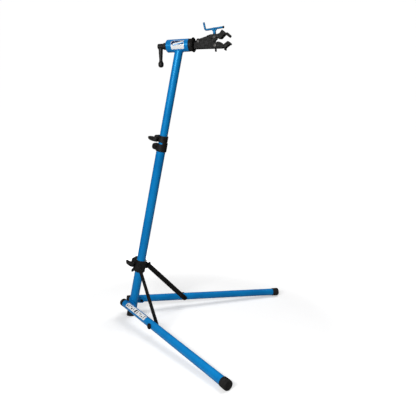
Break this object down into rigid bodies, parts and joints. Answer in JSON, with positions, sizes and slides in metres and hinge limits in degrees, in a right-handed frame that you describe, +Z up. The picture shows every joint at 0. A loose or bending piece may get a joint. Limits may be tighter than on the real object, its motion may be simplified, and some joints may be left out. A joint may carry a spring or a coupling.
{
  "type": "bike repair stand",
  "caption": "Folding bike repair stand: leaning telescopic mast on two braced folding legs, with a turning screw clamp on top.",
  "frame": {"origin": "where the mast foot's flat stands on the ground, on the mast's centre line", "axes": "+X forward, the way the clamp points; +Y to the left; +Z up"},
  "size_m": [0.7458, 1.0872, 1.4501],
  "materials": {
    "blue_paint": "glossy blue powder coat",
    "blue_handle": "blue dipped coating",
    "black_plastic": "moulded black, lightly grained",
    "black_rubber": "matt black rubber",
    "pad_rubber": "soft black rubber",
    "black_metal": "black semi-gloss coat",
    "black_steel": "black oxide",
    "steel": "zinc plated",
    "nylon": "natural nylon"
  },
  "bodies": {
    "lower_mast": {"lower_tube": "blue_paint", "mast_foot": "black_rubber", "leg_bracket": "blue_paint", "top_sleeve": "nylon", "height_collar": "black_plastic", "pinch_bolt": "black_metal", "pinch_nut": "black_steel", "height_skewer": "steel", "height_skewer_nut": "steel", "left_leg_pivot_bolt": "black_steel", "right_leg_pivot_bolt": "black_steel", "left_leg_washer": "nylon", "right_leg_washer": "nylon"},
    "upper_mast": {"upper_tube": "blue_paint", "tube_glide": "nylon", "head_tube": "blue_paint", "front_bushing": "black_plastic", "rear_bushing": "black_plastic"},
    "height_lever": {"height_lever": "black_plastic", "height_lever_pin": "steel"},
    "left_leg": {"left_leg_tube": "blue_paint", "left_rear_plug": "black_rubber", "left_leg_foot": "black_rubber", "left_brace_bolt": "black_metal", "left_brace_nut": "black_steel"},
    "right_leg": {"right_leg_tube": "blue_paint", "right_rear_plug": "black_rubber", "right_leg_foot": "black_rubber", "right_brace_bolt": "black_metal", "right_brace_nut": "black_steel"},
    "left_brace": {"left_brace": "black_metal", "left_brace_rivet": "black_metal"},
    "right_brace": {"right_brace": "black_metal", "right_brace_rivet": "black_metal"},
    "leg_collar": {"leg_collar": "black_plastic", "collar_liner": "nylon", "leg_skewer": "steel", "leg_skewer_nut": "steel", "ear_nuts": "black_metal"},
    "leg_lever": {"leg_lever": "black_plastic", "leg_lever_pin": "steel"},
    "clamp": {"clamp_spindle": "steel", "clamp_flange": "black_metal", "lower_jaw": "black_metal", "jaw_pivot_pin": "black_steel", "lower_pad": "pad_rubber"},
    "upper_jaw": {"upper_jaw": "black_metal", "upper_pad": "pad_rubber"},
    "saddle": {"saddle": "black_steel"},
    "screw": {"clamp_screw": "black_steel", "crank_handle": "blue_handle", "crank_tip": "black_rubber"},
    "barrel_nut": {"barrel_nut": "black_steel"},
    "lock_hub": {"lock_insert": "steel", "lock_screw": "steel", "lock_spring": "steel", "lock_washer": "steel"},
    "lock_lever": {"lock_lever": "black_plastic"}
  },
  "joints": [
    {"name": "mast_height", "type": "slide", "parent": "lower_mast", "child": "upper_mast", "axis": [0.2129, 0, 0.9771], "range_m": [-0.305, 0.09]},
    {"name": "height_lever_open", "type": "hinge", "parent": "lower_mast", "child": "height_lever", "pos_m": [0.17575, -0.028, 0.92888], "axis": [0.2129, 0, 0.9771], "range_deg": [0, 110]},
    {"name": "left_leg_fold", "type": "hinge", "parent": "lower_mast", "child": "left_leg", "pos_m": [0.02682, 0.06385, 0.07004], "axis": [0.5625, -0.8176, -0.1225], "range_deg": [0, 83.3]},
    {"name": "right_leg_fold", "type": "hinge", "parent": "lower_mast", "child": "right_leg", "pos_m": [0.02682, -0.06385, 0.07004], "axis": [-0.5625, -0.8176, 0.1225], "range_deg": [0, 83.5]},
    {"name": "leg_collar_slide", "type": "slide", "parent": "lower_mast", "child": "leg_collar", "axis": [0.2129, 0, 0.9771], "range_m": [0, 0.3293]},
    {"name": "left_brace_swing", "type": "hinge", "parent": "left_leg", "child": "left_brace", "pos_m": [0.23456, 0.18214, 0.0532], "axis": [0.5625, -0.8176, -0.1225], "range_deg": [-136.6, 0]},
    {"name": "right_brace_swing", "type": "hinge", "parent": "right_leg", "child": "right_brace", "pos_m": [0.23456, -0.18214, 0.0532], "axis": [-0.5625, -0.8176, 0.1225], "range_deg": [-136.6, 0]},
    {"name": "leg_lever_open", "type": "hinge", "parent": "leg_collar", "child": "leg_lever", "pos_m": [0.03369, -0.0303, 0.2909], "axis": [0.2129, 0, 0.9771], "range_deg": [0, 110]},
    {"name": "clamp_turn", "type": "hinge", "parent": "upper_mast", "child": "clamp", "pos_m": [0.29541, 0, 1.356], "axis": [1, 0, 0], "continuous": true},
    {"name": "lock_lever_turn", "type": "hinge", "parent": "clamp", "child": "lock_hub", "pos_m": [0.21541, 0, 1.356], "axis": [-1, 0, 0], "range_deg": [0, 180]},
    {"name": "lock_lever_lift", "type": "slide", "parent": "lock_hub", "child": "lock_lever", "axis": [-1, 0, 0], "range_m": [0, 0.0035], "stiffness_N_per_m": 800},
    {"name": "jaw_close", "type": "hinge", "parent": "clamp", "child": "upper_jaw", "pos_m": [0.38891, 0, 1.368], "axis": [0, 1, 0], "range_deg": [-14.1, 6.1]},
    {"name": "saddle_tilt", "type": "hinge", "parent": "upper_jaw", "child": "saddle", "pos_m": [0.46401, 0, 1.38299], "axis": [0, 1, 0], "range_deg": [-4.5, 10.2]},
    {"name": "crank_spin", "type": "hinge", "parent": "saddle", "child": "screw", "pos_m": [0.46401, 0, 1.38299], "axis": [0.0885, 0, -0.9961], "range_deg": [-1260, 540]},
    {"name": "nut_tilt", "type": "hinge", "parent": "clamp", "child": "barrel_nut", "pos_m": [0.46721, 0, 1.34699], "axis": [0, 1, 0], "range_deg": [-4.3, 2]}
  ],
  "couplings": [
    {"joint": "right_leg_fold", "follows": "left_leg_fold", "ratio": 1},
    {"joint": "leg_collar_slide", "follows": "left_leg_fold", "m_per_rad": 0.22615},
    {"joint": "left_brace_swing", "follows": "left_leg_fold", "ratio": -1.6354},
    {"joint": "right_brace_swing", "follows": "left_leg_fold", "ratio": -1.6354},
    {"joint": "jaw_close", "follows": "crank_spin", "ratio": 0.011111},
    {"joint": "saddle_tilt", "follows": "crank_spin", "ratio": -0.0078442},
    {"joint": "nut_tilt", "follows": "crank_spin", "ratio": 0.0032669}
  ]
}
